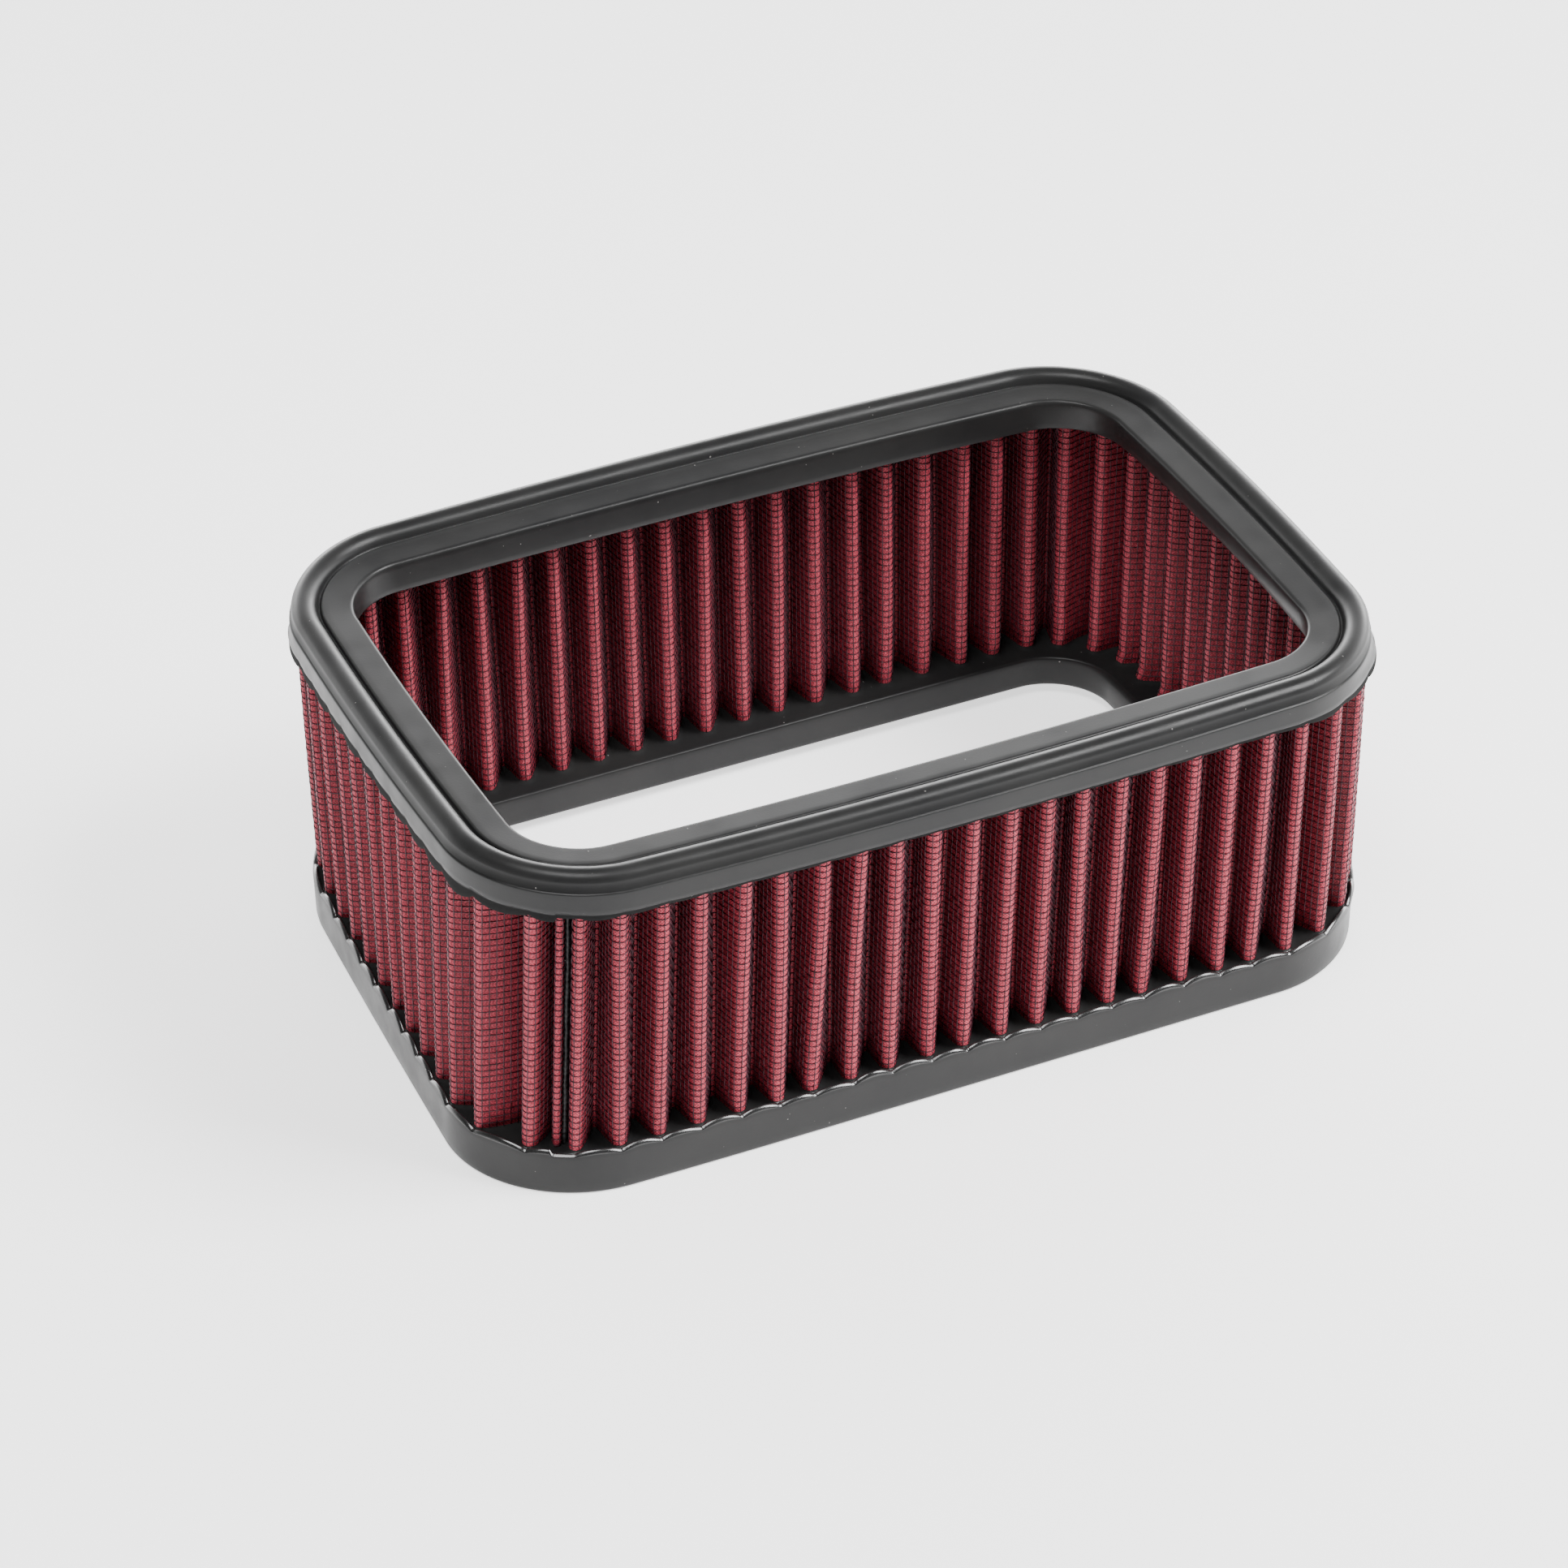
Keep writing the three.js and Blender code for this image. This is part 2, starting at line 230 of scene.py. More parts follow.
class Folds:
    """The pack's middle surface at any height, with each pleat a little different from the next.

    The last entry of every array is the strip's end, which turns over beside the seam.
    """

    def __init__(self, seed=11):
        random = np.random.default_rng(seed)
        count = 2 * PLEATS
        self.distance = np.append(crest_distances(), FOLD_LINE - STRIP_END_SETBACK)
        self.side = np.where(np.arange(count + 1) % 2 == 0, 1.0, -1.0)
        self.distance += LEAN * (self.side < 0)
        self.distance[-2] = FOLD_LINE - LAST_FOLD_SETBACK
        self.distance[0] += SEAM_SHIFT
        self.distance[-4:] += SEAM_SHIFT * np.array(SEAM_SHIFT_SHARES)
        self.reach = self.side * (FOLD_DEPTH / 2 + random.normal(0, REACH_SPREAD, count + 1))
        self.reach[1:-2:2] -= INNER_REACH
        self.reach[-1] = STRIP_END_REACH
        self.radius = FOLD_RADIUS + random.normal(0, RADIUS_SPREAD, count + 1)
        self.radius[0] = self.radius[-2] = SEAM_FOLD_RADIUS
        self.radius[-1] = STRIP_END_RADIUS
        self.shift = random.normal(0, SHIFT_SPREAD, count + 1)
        self.sway = random.normal(0, SWAY_SPREAD, count + 1)
        self.sway[-3:] = self.sway[0] = 0
        self.shift[-3:] = self.shift[0] = 0
        self.phase = random.uniform(0, 2 * np.pi, count + 1)

    def crests(self, heights):
        """Distance and reach of every crest at each height: two arrays, heights by crests."""
        level = (np.asarray(heights) - MID_HEIGHT)[:, None] / MID_HEIGHT
        sway = self.sway * (level + 0.5 * np.sin(2.6 * level + self.phase))
        distance = self.distance + self.shift + sway
        return distance, self.reach + self.side * 0.05 * np.sin(3 * level + self.phase)

    def path(self, heights, outside, crest_steps=3, flank_steps=2, valley_steps=2):
        """Samples along the folds at each height: distance, reach, and the outward normal's two parts.

        A crest on the named side is rounded in crest_steps. On the outside the strip's end turns over.
        """
        distance, reach = self.crests(heights)
        narrow = narrowing(distance, reach)
        samples = []

        def arc(k, angle, before):
            """A point on crest k's rounding, before or after its top; angle falls from upright to 0."""
            side, radius = self.side[k], self.radius[k]
            hand = -1.0 if before else 1.0
            samples.append((
                distance[:, k] + hand * radius * narrow[:, k] * np.cos(angle),
                reach[:, k] - side * radius * (1 - np.sin(angle)),
                hand * side * np.cos(angle),
                np.sin(angle),
            ))

        def flank(u0, n0, u1, n1, along, outward, steps):
            for t in np.arange(1, steps + 1) / (steps + 1):
                samples.append((u0 + (u1 - u0) * t, n0 + (n1 - n0) * t, along, outward))

        start_slope = np.full(len(heights), STRIP_START_SLOPE)
        arc(0, start_slope, True)
        u1, n1, along, outward = samples.pop()
        u0 = u1 - (n1 - STRIP_START_REACH) * math.tan(STRIP_START_SLOPE)
        n0 = np.full(len(heights), STRIP_START_REACH)
        samples.append((u0, n0, along, outward))
        flank(u0, n0, u1, n1, along, outward, flank_steps)
        steps = crest_steps if outside else valley_steps
        for t in np.arange(steps) / steps:
            arc(0, start_slope + (np.pi / 2 - start_slope) * t, True)

        for k in range(2 * PLEATS):
            fine_first = (self.side[k] > 0) == outside
            first, second = (crest_steps, valley_steps) if fine_first else (valley_steps, crest_steps)
            both = self.radius[k] + self.radius[k + 1]
            span = distance[:, k + 1] - distance[:, k]
            drop = self.side[k] * (reach[:, k] - reach[:, k + 1]) - both
            slope = np.arctan2(-drop, span) + np.arccos(both / np.hypot(span, drop))
            for t in np.arange(first + 1) / first:
                arc(k, np.pi / 2 + (slope - np.pi / 2) * t, False)
            u0, n0, along, outward = samples[-1]
            arc(k + 1, slope, True)
            u1, n1, _, _ = samples.pop()
            flank(u0, n0, u1, n1, along, outward, flank_steps)
            for t in np.arange(second) / second:
                arc(k + 1, slope + (np.pi / 2 - slope) * t, True)
        if outside:
            last = 2 * PLEATS
            for t in np.arange(2 * crest_steps + 1) / (2 * crest_steps):
                arc(last, np.full(len(heights), np.pi / 2 * (1 - t)), False)
            u0, n0, along, outward = samples[-1]
            flank(u0, n0, u0, n0 - STRIP_END_TAIL, along, outward, flank_steps)
        return tuple(np.stack(rows, axis=1) for rows in zip(*samples))


FOLDS = Folds()


def place(distance, reach, heights):
    """Fold coordinates and heights to relaxed x, y, z."""
    flat = OUTLINE.point(SEAM_START + distance, FOLD_LINE_INSET, reach)
    height = np.broadcast_to(heights, distance.shape)
    return relax(np.concatenate([flat, height[..., None]], axis=-1))


def offset_surface(path, heights, offset):
    """The folds moved off their middle surface by an offset, outwards when positive."""
    distance, reach, along, outward = path
    moved = distance + offset * along * narrowing(distance, reach)
    return place(moved, reach + offset * outward, heights)


# ---------------------------------------------------------------- meshes
def build_mesh(name, points, quads, material, smooth=True, data=None):
    """A mesh object from points in millimetres and quads; data is the "surface" vector of each point."""
    mesh = bpy.data.meshes.new(name)
    points = np.ascontiguousarray(points.reshape(-1, 3) * MM, np.float32)
    quads = np.ascontiguousarray(quads.reshape(-1, 4), np.int32)
    mesh.vertices.add(len(points))
    mesh.vertices.foreach_set("co", points.ravel())
    mesh.loops.add(quads.size)
    mesh.loops.foreach_set("vertex_index", quads.ravel())
    mesh.polygons.add(len(quads))
    mesh.polygons.foreach_set("loop_start", np.arange(0, quads.size, 4, dtype=np.int32))
    mesh.polygons.foreach_set("loop_total", np.full(len(quads), 4, np.int32))
    mesh.update(calc_edges=True)
    mesh.polygons.foreach_set("use_smooth", np.full(len(quads), smooth))
    if data is not None:
        layer = mesh.attributes.new("surface", "FLOAT_VECTOR", "POINT")
        layer.data.foreach_set("vector", np.ascontiguousarray(data.reshape(-1, 3), np.float32).ravel())
    mesh.materials.append(material)
    piece = bpy.data.objects.new(name, mesh)
    bpy.context.scene.collection.objects.link(piece)
    return piece


def grid_quads(rows, columns, wrap_rows=False, wrap_columns=False):
    r = np.arange(rows if wrap_rows else rows - 1)
    c = np.arange(columns if wrap_columns else columns - 1)
    r, c = np.meshgrid(r, c, indexing="ij")
    r1, c1 = (r + 1) % rows, (c + 1) % columns
    return np.stack([r * columns + c, r * columns + c1, r1 * columns + c1, r1 * columns + c], -1)


def finish_piece(piece, slot, *nodes):
    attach(piece, "root")
    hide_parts(*nodes)


# ---------------------------------------------------------------- materials
def new_material(name):
    material = bpy.data.materials.new(name)
    material.use_nodes = True
    nodes = material.node_tree.nodes
    return material, nodes, material.node_tree.links, nodes["Principled BSDF"]


def noise(nodes, links, vector, scale, detail=4.0, roughness=0.55):
    node = nodes.new("ShaderNodeTexNoise")
    node.inputs["Scale"].default_value = scale
    node.inputs["Detail"].default_value = detail
    node.inputs["Roughness"].default_value = roughness
    links.new(vector, node.inputs["Vector"])
    return node.outputs["Fac"]


def ramp(nodes, links, value, stops):
    node = nodes.new("ShaderNodeValToRGB")
    while len(node.color_ramp.elements) < len(stops):
        node.color_ramp.elements.new(0.5)
    for element, (position, colour) in zip(node.color_ramp.elements, stops):
        element.position = position
        element.color = (*colour, 1)
    links.new(value, node.inputs["Fac"])
    return node.outputs["Color"]


def maths(nodes, links, operation, a, b=None, c=None):
    node = nodes.new("ShaderNodeMath")
    node.operation = operation
    for socket, value in zip(node.inputs, (a, b, c)):
        if value is None:
            continue
        if isinstance(value, (int, float)):
            socket.default_value = value
        else:
            links.new(value, socket)
    return node.outputs["Value"]


def bump(nodes, links, height, distance, strength):
    node = nodes.new("ShaderNodeBump")
    node.inputs["Strength"].default_value = strength
    node.inputs["Distance"].default_value = distance
    links.new(height, node.inputs["Height"])
    return node.outputs["Normal"]


def surface_parts(nodes, links):
    """The mesh's "surface" vector, whole and as its three parts."""
    attribute = nodes.new("ShaderNodeAttribute")
    attribute.attribute_name = "surface"
    split = nodes.new("ShaderNodeSeparateXYZ")
    links.new(attribute.outputs["Vector"], split.inputs["Vector"])
    return attribute.outputs["Vector"], split.outputs


def rubber_material():
    """Moulded rubber with a soft sheen, a very fine grain and specks of dust; dull and glossy as marked."""
    material, nodes, links, shader = new_material("cap_rubber")
    place_at = nodes.new("ShaderNodeTexCoord").outputs["Object"]
    cloud = noise(nodes, links, place_at, 60, 5)
    colour = ramp(nodes, links, cloud, [(0.3, (0.012, 0.012, 0.0125)), (0.7, (0.019, 0.0188, 0.0185))])
    specks = noise(nodes, links, place_at, 1500, 1.0)
    dust = ramp(nodes, links, specks, [(0.79, (0, 0, 0)), (0.83, (0.22, 0.21, 0.2))])
    both = nodes.new("ShaderNodeMix")
    both.data_type = "RGBA"
    both.blend_type = "ADD"
    both.inputs["Factor"].default_value = 1.0
    links.new(colour, both.inputs["A"])
    links.new(dust, both.inputs["B"])
    links.new(both.outputs["Result"], shader.inputs["Base Color"])
    sheen_patches = noise(nodes, links, place_at, 180, 3)
    _, (dull, glossy, _) = surface_parts(nodes, links)
    rough = ramp(nodes, links, sheen_patches, [(0.3, (0.28,) * 3), (0.7, (0.40,) * 3)])
    rougher = maths(nodes, links, "ADD", rough, maths(nodes, links, "MULTIPLY", dull, 0.3))
    smoother = maths(nodes, links, "MULTIPLY", glossy, -0.12)
    links.new(maths(nodes, links, "ADD", rougher, smoother), shader.inputs["Roughness"])
    dimmed = maths(nodes, links, "MULTIPLY", dull, -0.2)
    shiny = maths(nodes, links, "MULTIPLY_ADD", glossy, 0.6, 0.21)
    links.new(maths(nodes, links, "ADD", dimmed, shiny), shader.inputs["Specular IOR Level"])
    grain = noise(nodes, links, place_at, 2600, 2)
    links.new(bump(nodes, links, grain, 0.00002, 0.35), shader.inputs["Normal"])
    return material


def gauze_material():
    """Cotton gauze soaked in red oil: a plain weave seen through the oil, with painted light on the crests
    and painted shade down the flanks.
    """
    material, nodes, links, shader = new_material("oiled_gauze")
    surface, (across, up, outward) = surface_parts(nodes, links)
    thread = 2 * math.pi / THREAD_PITCH
    warp = maths(nodes, links, "SINE", maths(nodes, links, "MULTIPLY", across, thread))
    weft = maths(nodes, links, "SINE", maths(nodes, links, "MULTIPLY", up, thread))
    weave = maths(nodes, links, "MULTIPLY", warp, weft)
    fuzz = noise(nodes, links, surface, 2.2, 5, 0.6)
    soft = maths(nodes, links, "MULTIPLY_ADD", fuzz, 0.6, 0.2)
    mix = maths(nodes, links, "ADD", maths(nodes, links, "MULTIPLY", weave, 0.15), soft)
    # Painted light and shade: the colour gets lighter where the ply faces outwards, on the crests, and
    # darker down the flanks and in the valleys.
    weave_and_painted_light = maths(nodes, links, "ADD", mix, maths(nodes, links, "MULTIPLY", outward, 0.36))
    # The ramp's dark end is the painted shade of the flanks and its light end the painted light of the
    # crests.
    stops = [
        (0.20, (0.018, 0.001, 0.0022)),
        (0.56, (0.100, 0.0068, 0.0120)),
        (0.76, (0.27, 0.025, 0.041)),
        (1.00, (0.52, 0.085, 0.115)),
    ]
    links.new(ramp(nodes, links, weave_and_painted_light, stops), shader.inputs["Base Color"])
    shader.inputs["Roughness"].default_value = 0.5
    shader.inputs["Specular IOR Level"].default_value = 0.14
    links.new(bump(nodes, links, mix, 0.00012, 0.7), shader.inputs["Normal"])
    return material


def wire_material():
    """Thin aluminium wire under a film of red oil."""
    material, nodes, links, shader = new_material("screen_wire")
    place_at = nodes.new("ShaderNodeTexCoord").outputs["Object"]
    film = noise(nodes, links, place_at, 900, 4)
    colour = ramp(nodes, links, film, [(0.35, (0.022, 0.006, 0.010)), (0.7, (0.08, 0.022, 0.034))])
    links.new(colour, shader.inputs["Base Color"])
    shader.inputs["Metallic"].default_value = 0.35
    shader.inputs["Specular IOR Level"].default_value = 0.35
    rough = ramp(nodes, links, film, [(0.3, (0.20,) * 3), (0.7, (0.38,) * 3)])
    links.new(rough, shader.inputs["Roughness"])
    links.new(bump(nodes, links, film, 0.00003, 0.5), shader.inputs["Normal"])
    return material


def sealant_material():
    """Black sealant with a lumpy, half dull skin."""
    material, nodes, links, shader = new_material("seam_sealant")
    place_at = nodes.new("ShaderNodeTexCoord").outputs["Object"]
    lumps = noise(nodes, links, place_at, 700, 4)
    colour = ramp(nodes, links, lumps, [(0.3, (0.008, 0.008, 0.009)), (0.7, (0.02, 0.018, 0.018))])
    links.new(colour, shader.inputs["Base Color"])
    shader.inputs["Roughness"].default_value = 0.5
    shader.inputs["Specular IOR Level"].default_value = 0.25
    links.new(bump(nodes, links, lumps, 0.0002, 0.6), shader.inputs["Normal"])
    return material


def floor_material():
    """A pale sweep that glows a little, so that it stays light under the bright horizon."""
    material, nodes, links, shader = new_material("studio_floor")
    place_at = nodes.new("ShaderNodeTexCoord").outputs["Object"]
    tone = noise(nodes, links, place_at, 6, 3)
    colour = ramp(nodes, links, tone, [(0.3, (0.90, 0.90, 0.905)), (0.7, (0.92, 0.92, 0.92))])
    links.new(colour, shader.inputs["Base Color"])
    shader.inputs["Roughness"].default_value = 0.6
    shader.inputs["Specular IOR Level"].default_value = 0.2
    shader.inputs["Emission Color"].default_value = (1, 1, 1, 1)
    shader.inputs["Emission Strength"].default_value = FLOOR_GLOW
    return material


RUBBER = rubber_material()
GAUZE = gauze_material()
WIRE = wire_material()
SEALANT = sealant_material()


# ---------------------------------------------------------------- camera, floor and light
def make_camera():
    back = np.array([
        math.sin(CAMERA_AZIMUTH) * math.cos(CAMERA_ELEVATION),
        -math.cos(CAMERA_AZIMUTH) * math.cos(CAMERA_ELEVATION),
        math.sin(CAMERA_ELEVATION),
    ])
    level = np.cross(-back, (0, 0, 1))
    level /= np.linalg.norm(level)
    upright = np.cross(level, -back)
    right = math.cos(CAMERA_ROLL) * level + math.sin(CAMERA_ROLL) * upright
    up = -math.sin(CAMERA_ROLL) * level + math.cos(CAMERA_ROLL) * upright
    eye = (np.array(CAMERA_TARGET) + back * CAMERA_DISTANCE) * MM
    data = bpy.data.cameras.new("camera")
    data.sensor_width = 36
    data.lens = CAMERA_LENS
    data.clip_start = 0.01
    camera = bpy.data.objects.new("camera", data)
    bpy.context.scene.collection.objects.link(camera)
    rows = [[*row, e] for row, e in zip(np.stack([right, up, back], 1), eye)]
    camera.matrix_world = Matrix(rows + [[0, 0, 0, 1]])
    bpy.context.scene.camera = camera


def make_floor():
    signs = np.array([[-1, -1, 0], [1, -1, 0], [1, 1, 0], [-1, 1, 0]], float)
    corners = FLOOR_HALF_SIZE * signs
    floor = build_mesh("floor", corners, np.array([[0, 1, 2, 3]]), floor_material(), smooth=False)


def area_light(name, position, target, size, power):
    data = bpy.data.lights.new(name, "AREA")
    data.shape = "RECTANGLE"
    data.size, data.size_y = size
    data.energy = power
    light = bpy.data.objects.new(name, data)
    light.location = position
    light.rotation_euler = (Vector(target) - Vector(position)).to_track_quat("-Z", "Y").to_euler()
    bpy.context.scene.collection.objects.link(light)


def make_lights():
    """A world that is bright at the horizon behind the object, and soft boxes to the right and overhead."""
    world = bpy.data.worlds.new("world")
    world.use_nodes = True
    nodes, links = world.node_tree.nodes, world.node_tree.links
    direction = nodes.new("ShaderNodeTexCoord").outputs["Generated"]
    split = nodes.new("ShaderNodeSeparateXYZ")
    links.new(direction, split.inputs["Vector"])
    levels = [(0.0, 1.0), (0.22, 1.0), (0.34, 0.30), (0.5, 0.10), (0.72, 0.042), (1.0, 0.05)]
    stops = [(height, (amount,) * 3) for height, amount in levels]
    by_height = ramp(nodes, links, split.outputs["Z"], stops)
    behind = nodes.new("ShaderNodeVectorMath")
    behind.operation = "DOT_PRODUCT"
    links.new(direction, behind.inputs[0])
    behind.inputs[1].default_value = (0.3, 0.4, 0.0)
    level = maths(nodes, links, "ADD", behind.outputs["Value"], 0.5)
    side_levels = [(0.0, 0.04), (0.45, 0.09), (0.8, 0.5), (1.0, 1.0)]
    by_side = ramp(nodes, links, level, [(position, (amount,) * 3) for position, amount in side_levels])
    links.new(maths(nodes, links, "MULTIPLY", by_height, by_side), nodes["Background"].inputs["Color"])
    nodes["Background"].inputs["Strength"].default_value = WORLD_STRENGTH
    bpy.context.scene.world = world
    area_light("key", (0.7, -0.45, 0.95), (0, 0, 0), (0.55, 0.55), KEY_POWER)
    area_light("overhead", (-0.3, -0.2, 1.15), (0, 0, 0.02), (0.6, 0.45), OVERHEAD_POWER)


# ---------------------------------------------------------------- end caps
def rounding(centre_inset, centre_rise, radius, first_degrees, last_degrees, count):
    """[inset, rise] points on an arc; 0 degrees faces outwards and 90 degrees away from the pack."""
    angles = [math.radians(degrees) for degrees in np.linspace(first_degrees, last_degrees, count)]
    return [(centre_inset - radius * math.cos(a), centre_rise + radius * math.sin(a)) for a in angles]


def cap_section(side):
    """[inset, rise] points from the skirt's free edge to the opening, over the bead or the square rim."""
    bead_rise = CAP_RISE - BEAD_RADIUS
    if side > 0:
        points = [(0.70, 0.0), (0.52, -0.03), (0.36, -0.02), (0.27, 0.05), (0.23, 0.18), (0.20, 0.32)]
        points += [(0.14, 0.44), (0.05, 0.5), (0.0, 0.62)]
        points += [(0.0, rise) for rise in np.linspace(1.2, 3.6, 4)]
        points += [(0.02, 3.78), (0.08, 3.88), (0.20, 3.93), (0.32, 3.99)]
        points += rounding(BEAD_INSET, bead_rise, BEAD_RADIUS, 20, 170, 19)
    else:
        points = [(0.78, 0.0), (0.70, -0.13), (0.58, -0.17), (0.45, -0.12), (0.30, -0.04), (0.16, 0.04)]
        points += [(0.04, 0.12), (0.0, 0.22), (0.0, 0.62)]
        points += [(0.0, rise) for rise in np.linspace(1.6, 6.2, 5)]
        points += [(0.04, 6.46), (0.15, 6.65), (0.31, 6.76), (0.5, CAP_RISE), (1.6, CAP_RISE)]
        points += rounding(BEAD_INSET, bead_rise, BEAD_RADIUS, 95, 170, 11)
    points += [(4.40, 5.00), (4.53, 4.88), (4.66, 4.88), (4.76, 5.00)]
    points += rounding(LIP_INSET, LIP_RISE, LIP_RADIUS, 10, 90, 7)
    ledge_rise = LIP_RISE + LIP_RADIUS
    points += [(inset, ledge_rise - LEDGE_SLOPE * (inset - LIP_INSET)) for inset in (6.2, 7.2, 8.1, 8.7)]
    points += rounding(OPENING_INSET - LEDGE_EDGE_RADIUS, LEDGE_EDGE_RISE, LEDGE_EDGE_RADIUS, 90, 175, 8)
    points += [(OPENING_INSET, 4.0), (OPENING_INSET, 2.6), (9.74, 1.2), (9.70, 0.35), (9.60, 0.12)]
    return np.array(points)


def flash_lobes(line, x, level, side, random):
    """How far the free edge hangs, and how ragged the step above it is, at stations along the fold line."""
    crests = FOLDS.crests([level])[0][0][: 2 * PLEATS : 2]
    crests = np.concatenate([crests, crests[:1] + FOLD_LINE])
    lobe = np.clip(np.searchsorted(crests, line, side="right") - 1, 0, PLEATS - 1)
    part = np.mod(line - crests[lobe], FOLD_LINE) / (crests[lobe + 1] - crests[lobe])
    arch = np.sin(np.pi * np.clip(part, 0, 1)) ** 0.7
    size = random.uniform(0.6, 1.3, PLEATS)[lobe]
    lean = random.uniform(-0.6, 0.6, PLEATS)[lobe]
    ends = (np.abs(x) / HALF_LENGTH) ** 5
    depth = (0.20 + 1.1 * ends) if side > 0 else (0.80 + 0.2 * ends)
    hang = depth * size * arch * (1 + lean * (part - 0.5)) + 0.8 * ends * (side > 0)
    knots = np.linspace(0, FOLD_LINE, 420)
    ragged = np.interp(line, knots, np.append(random.uniform(-1, 1, 419), 0))
    notch = (0.05 + 0.6 * ends) * (0.35 * ragged + arch - 0.75) * (side > 0)
    return hang, notch


def flash_flare(line, random):
    """How far the torn flash stands out under the top cap's skirt, at two opposite corners."""
    angle = OUTLINE.locate(SEAM_START + line, FOLD_LINE_INSET)[1]
    facing = np.clip((np.abs(np.cos(angle - FLARE_ANGLE)) - 1 + FLARE_SPAN) / FLARE_SPAN, 0, 1) ** 2
    knots = np.linspace(0, FOLD_LINE, 150)
    torn = np.interp(line, knots, np.append(random.uniform(0.75, 1.15, 149), 1))
    return FLARE * facing * torn


def potting_insets():
    """Insets across the potting's surface, from the opening's side to under the skirt."""
    return np.concatenate([np.linspace(9.3, 1.0, 27), [0.8]])


def potting_rise(line, insets, level):
    """How far the set rubber creeps up the gauze, from the distance to the folds' middle surface."""
    path = FOLDS.path(np.array([level]), True, crest_steps=4, flank_steps=8, valley_steps=4)
    folds = np.stack([path[0][0], path[1][0]], -1)
    rise = np.zeros((len(line), len(insets)))
    order = np.argsort(folds[:, 0])
    folds = folds[order]
    for i, at in enumerate(line):
        low, high = np.searchsorted(folds[:, 0], (at - 3, at + 3))
        near = folds[low:high] if high > low else folds
        across = near[:, 1, None] - (FOLD_LINE_INSET - insets)[None, :]
        gap = np.hypot(near[:, 0, None] - at, across).min(axis=0)
        rise[i] = CREEP_HEIGHT * np.exp(-np.maximum(gap - GAUZE_HALF, 0) / CREEP_WIDTH)
    return rise


def end_cap(name, node, side):
    """A cap swept round the outline, with the potting's surface between the pleats."""
    random = np.random.default_rng(21 + side)
    section = cap_section(side)
    potting = potting_insets()
    insets = np.concatenate([section[:, 0], potting])
    line = FOLD_LINE * np.arange(CAP_STATIONS) / CAP_STATIONS
    distance = np.broadcast_to(line[:, None], (CAP_STATIONS, len(insets)))
    flat = OUTLINE.point(SEAM_START + distance, FOLD_LINE_INSET, FOLD_LINE_INSET - insets[None, :])
    level = MID_HEIGHT + side * PACK_SIDE
    rises = np.broadcast_to(np.concatenate([section[:, 1], np.zeros(len(potting))]), distance.shape).copy()
    hang, notch = flash_lobes(line, flat[:, 0, 0], level, side, random)
    if side > 0:
        loose = np.zeros(len(insets))
        loose[: len(section)] = np.clip(1 - section[:, 1] / 1.6, 0, 1) * (section[:, 0] < 0.72)
        reach = FOLD_LINE_INSET - insets[None, :] + flash_flare(line, random)[:, None] * loose
        flat = OUTLINE.point(SEAM_START + distance, FOLD_LINE_INSET, reach)
    free = (section[:, 0] < 0.8) & (section[:, 1] < 0.7)
    below_step = free & (section[:, 0] > (0.16 if side > 0 else -1))
    fall = np.clip(1 - section[:, 1] / (0.4 if side > 0 else 0.6), 0, 1)
    rises[:, : len(section)] -= hang[:, None] * fall * below_step + notch[:, None] * (free & ~below_step)
    surface = np.zeros((*distance.shape, 3))
    surface[:, : len(section), 0] = below_step * (side > 0)
    surface[:, : len(section), 1] = (section[:, 1] < 0.15) * (section[:, 0] < 0.8) * (side < 0)
    surface[:, len(section):-1, 0] = POTTING_DULLNESS
    creep = potting_rise(line, potting, level)
    rises[:, len(section):] -= creep
    rises[:, -1] = np.minimum(rises[:, -1], rises[:, 0] + 0.02)
    height = MID_HEIGHT + side * (PACK_SIDE + rises)
    points = relax(np.concatenate([flat, height[..., None]], axis=-1))
    quads = grid_quads(CAP_STATIONS, len(insets), wrap_rows=True, wrap_columns=True)
    cap = build_mesh(name, points, quads[..., ::-1] if side > 0 else quads, RUBBER, data=surface)
    finish_piece(cap, "cap_rubber", node)


# ---------------------------------------------------------------- gauze
def arc_lengths(points):
    steps = np.linalg.norm(np.diff(points, axis=1), axis=2)
    return np.concatenate([np.zeros((len(points), 1)), np.cumsum(steps, axis=1)], axis=1)


def row_heights(per_row):
    """Heights from the pack's foot to its top, per_row to each row of wires, and how far into its row."""
    low, high = PACK_LOW[2], PACK_HIGH[2]
    rows = int((high - low) / WIRE_PITCH)
    first = MID_HEIGHT - rows / 2 * WIRE_PITCH
    heights = first + np.arange(rows * per_row + 1) * WIRE_PITCH / per_row
    return heights, np.mod(np.arange(rows * per_row + 1) / per_row, 1.0)


def gauze_ply(number, per_row):
    """One ply, counted from outside. The plies against the screens bulge between the wires."""
    offset = GAUZE_HALF - (number - 1) * PLY_STEP - PLY_THICKNESS / 2
    outside = number <= 2
    heights, within = row_heights(per_row)
    path = FOLDS.path(heights, outside=outside)
    bulge = BULGE * np.sin(np.pi * within) ** 0.8 if number in (1, 4) else np.zeros_like(within)
    sign = 1.0 if outside else -1.0
    face = offset + sign * (PLY_THICKNESS / 2 - BULGE + bulge[:, None])
    front = offset_surface(path, heights[:, None], face)
    along = arc_lengths(front)
    # Painted light and shade for the gauze's colour: highest on the crests facing the ply's side, lower in
    # the valleys, lowest on the flanks.
    outward = path[3] * (0.82 + 0.18 * sign * path[1] / (FOLD_DEPTH / 2))
    data = np.stack([along, np.broadcast_to(heights[:, None], along.shape), outward], -1)
    quads = grid_quads(*front.shape[:2])
    quads = quads[..., ::-1] if outside else quads
    ply = build_mesh(f"gauze_{number}_cloth", front, quads, GAUZE, data=data)
    finish_piece(ply, "oiled_gauze", f"gauze_ply_{number}")


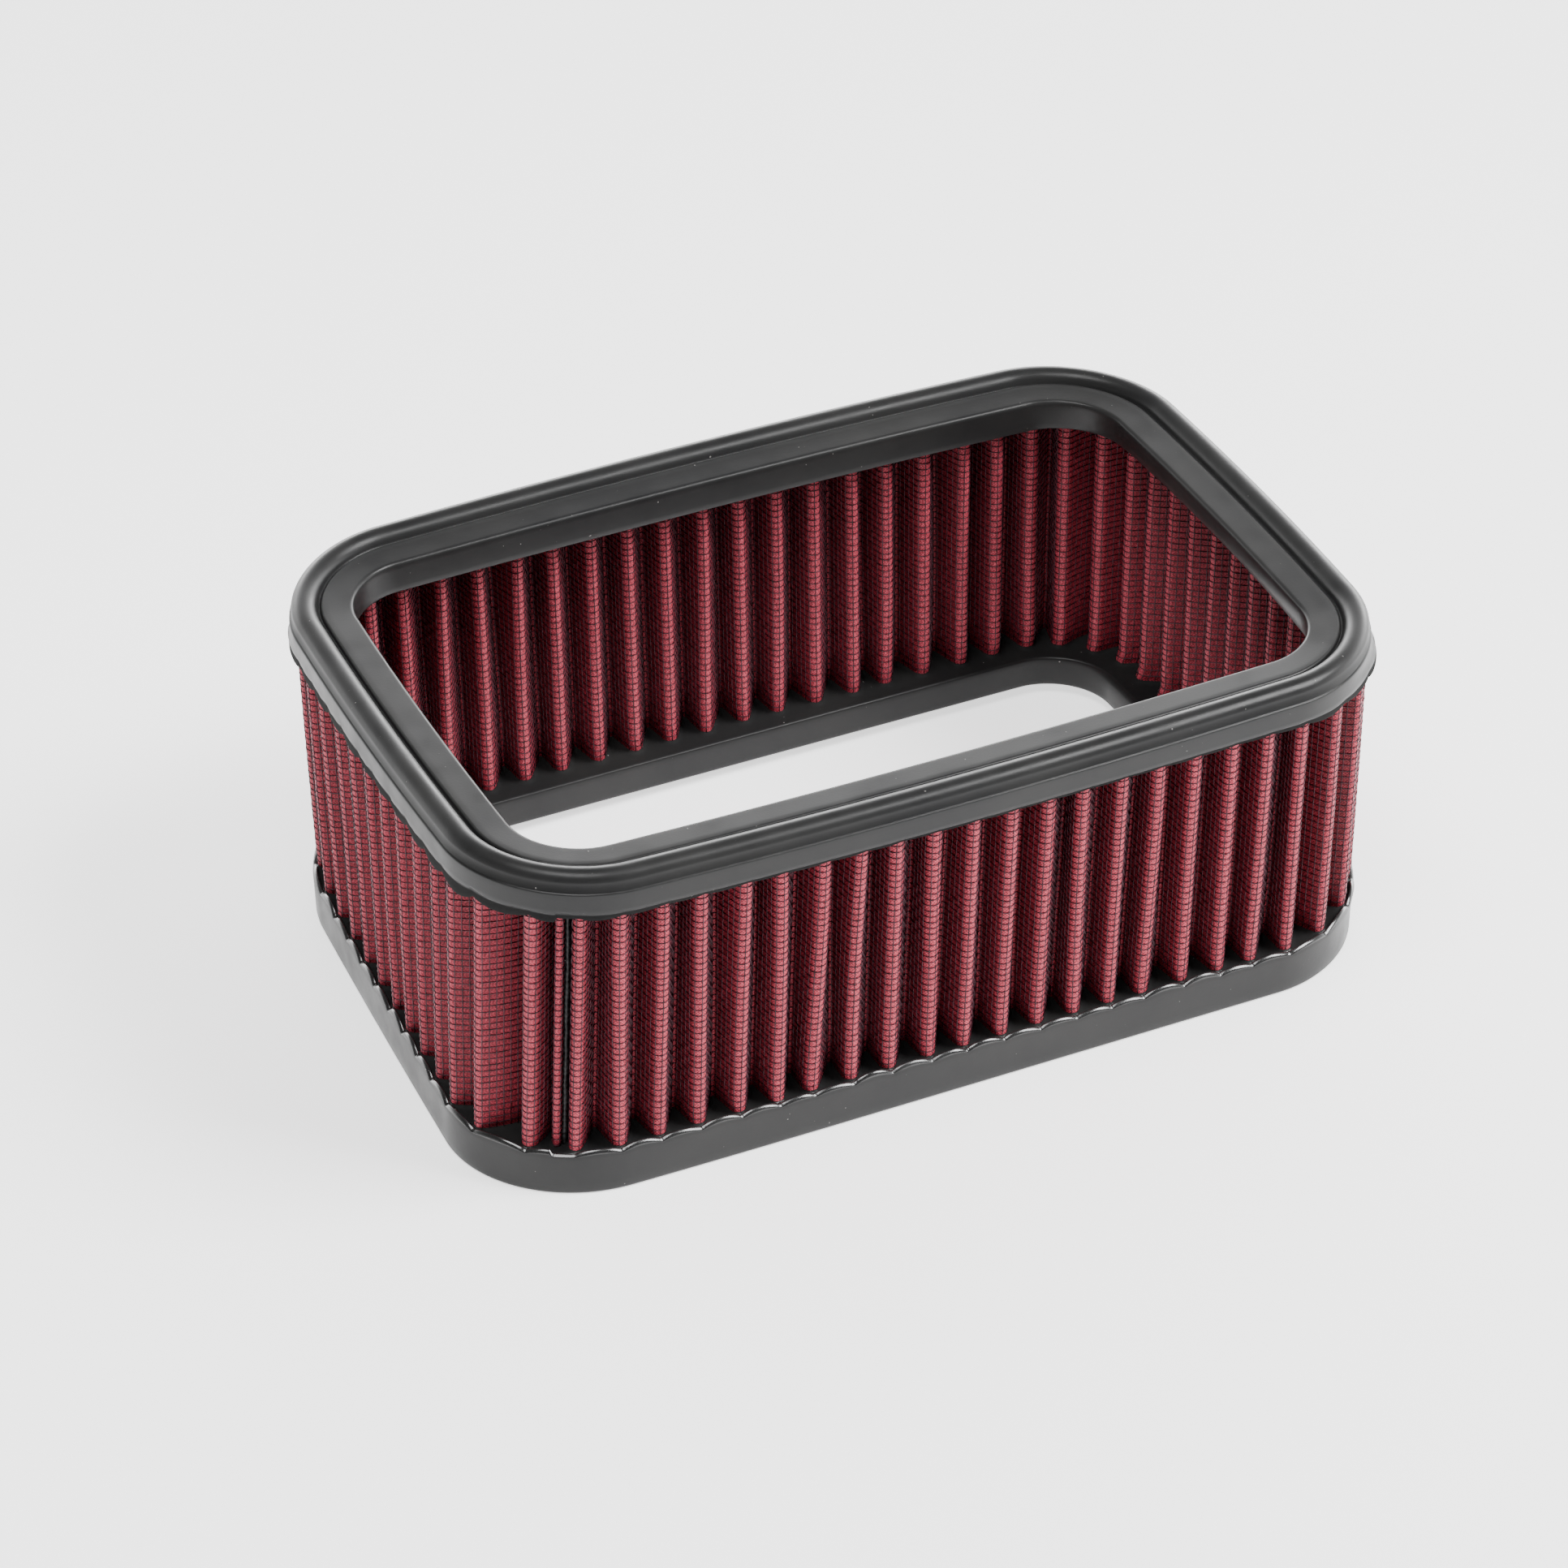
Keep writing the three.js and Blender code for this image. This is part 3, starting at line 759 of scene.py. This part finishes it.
# ---------------------------------------------------------------- wire screens
def tubes(centres, side_one, side_two, radius, sides):
    """Tubes along rows of centres, shape wires by steps by 3, with two unit vectors across each."""
    angles = 2 * np.pi * np.arange(sides) / sides
    ring = (
        centres[..., None, :]
        + radius * np.cos(angles)[:, None] * side_one[..., None, :]
        + radius * np.sin(angles)[:, None] * side_two[..., None, :]
    )
    wires, steps = centres.shape[:2]
    quads = grid_quads(steps, sides, wrap_columns=True).reshape(-1, 4)
    quads = (quads[None] + (np.arange(wires) * steps * sides)[:, None, None]).reshape(-1, 4)
    return ring.reshape(-1, 3), quads


def unit(vectors):
    return vectors / np.maximum(np.linalg.norm(vectors, axis=-1, keepdims=True), 1e-9)


def screen(prefix, node, sign):
    """A woven screen on one side of the pack: rows that follow the folds, and upright columns."""
    heights, _ = row_heights(1)
    path = FOLDS.path(heights, outside=sign > 0, crest_steps=5, flank_steps=3, valley_steps=2)
    middle = sign * (GAUZE_HALF - BULGE + 0.55 * WIRE_RADIUS)
    length = arc_lengths(offset_surface(path, heights[:, None], middle))
    parity = (np.arange(len(heights)) % 2)[:, None]
    wave = np.cos(np.pi * (length / WIRE_PITCH - 0.5 + parity))
    centres = offset_surface(path, heights[:, None], middle + sign * WEAVE_WAVE * wave)
    tangent = unit(np.gradient(centres, axis=1))
    vertical = np.zeros_like(tangent)
    vertical[..., 2] = 1
    across = unit(np.cross(tangent, vertical))
    half = len(heights) // 2
    for part, rows in (("low", slice(0, half)), ("high", slice(half, None))):
        points, quads = tubes(centres[rows], across[rows], vertical[rows], WIRE_RADIUS, WIRE_SIDES)
        finish_piece(build_mesh(f"{prefix}_rows_{part}", points, quads, WIRE), "screen_wire", node)

    count = int(length[0, -1] / WIRE_PITCH)
    targets = (np.arange(count) + 0.5) * length[0, -1] / count
    samples = np.interp(targets, length[0], np.arange(length.shape[1]))
    low = np.floor(samples).astype(int)
    part = samples - low
    picked = tuple(a[:, low] * (1 - part) + a[:, low + 1] * part for a in path)
    swing = np.where((np.arange(count)[None, :] + parity) % 2 == 0, -1, 1)
    centres = offset_surface(picked, heights[:, None], middle + sign * WEAVE_WAVE * swing)
    centres = np.swapaxes(centres, 0, 1)
    first = np.broadcast_to([1.0, 0, 0], centres.shape)
    second = np.broadcast_to([0, 1.0, 0], centres.shape)
    points, quads = tubes(centres, first, second, WIRE_RADIUS, WIRE_SIDES)
    finish_piece(build_mesh(f"{prefix}_columns", points, quads, WIRE), "screen_wire", node)


# ---------------------------------------------------------------- seam
def seam_bead():
    """Sealant squeezed between the strip's two ends, lumpy where it closes over the screens' cut rows."""
    heights = np.linspace(PACK_LOW[2], PACK_HIGH[2], 180)
    random = np.random.default_rng(5)
    wobble = np.interp(heights, np.linspace(heights[0], heights[-1], 40), random.normal(0, 0.05, 40))
    wobble += 0.07 * np.cos(2 * np.pi * (heights - MID_HEIGHT) / WIRE_PITCH)
    angles = 2 * np.pi * np.arange(SEALANT_SIDES) / SEALANT_SIDES
    drift = np.interp(heights, np.linspace(heights[0], heights[-1], 26), random.normal(0, 0.04, 26))
    middle = SEAM_SHIFT + 0.02 + drift[:, None]
    distance = middle + (SEALANT_HALF_WIDTH + wobble[:, None]) * np.cos(angles)
    reach = SEALANT_REACH + (SEALANT_HALF_DEPTH + wobble[:, None]) * np.sin(angles)
    points = place(distance, reach, heights[:, None])
    quads = grid_quads(len(heights), SEALANT_SIDES, wrap_columns=True)
    bead = build_mesh("seam_sealant_line", points, quads, SEALANT)
    finish_piece(bead, "seam_sealant", "pack_seam_bead")


make_camera()
make_floor()
make_lights()
end_cap("top_cap_rubber", "top_end_cap", 1)
end_cap("bottom_cap_rubber", "bottom_end_cap", -1)
for number, per_row in ((1, 2), (2, 1), (3, 1), (4, 2)):
    gauze_ply(number, per_row)
screen("outer_screen", "outer_wire_screen", 1)
screen("inner_screen", "inner_wire_screen", -1)
seam_bead()
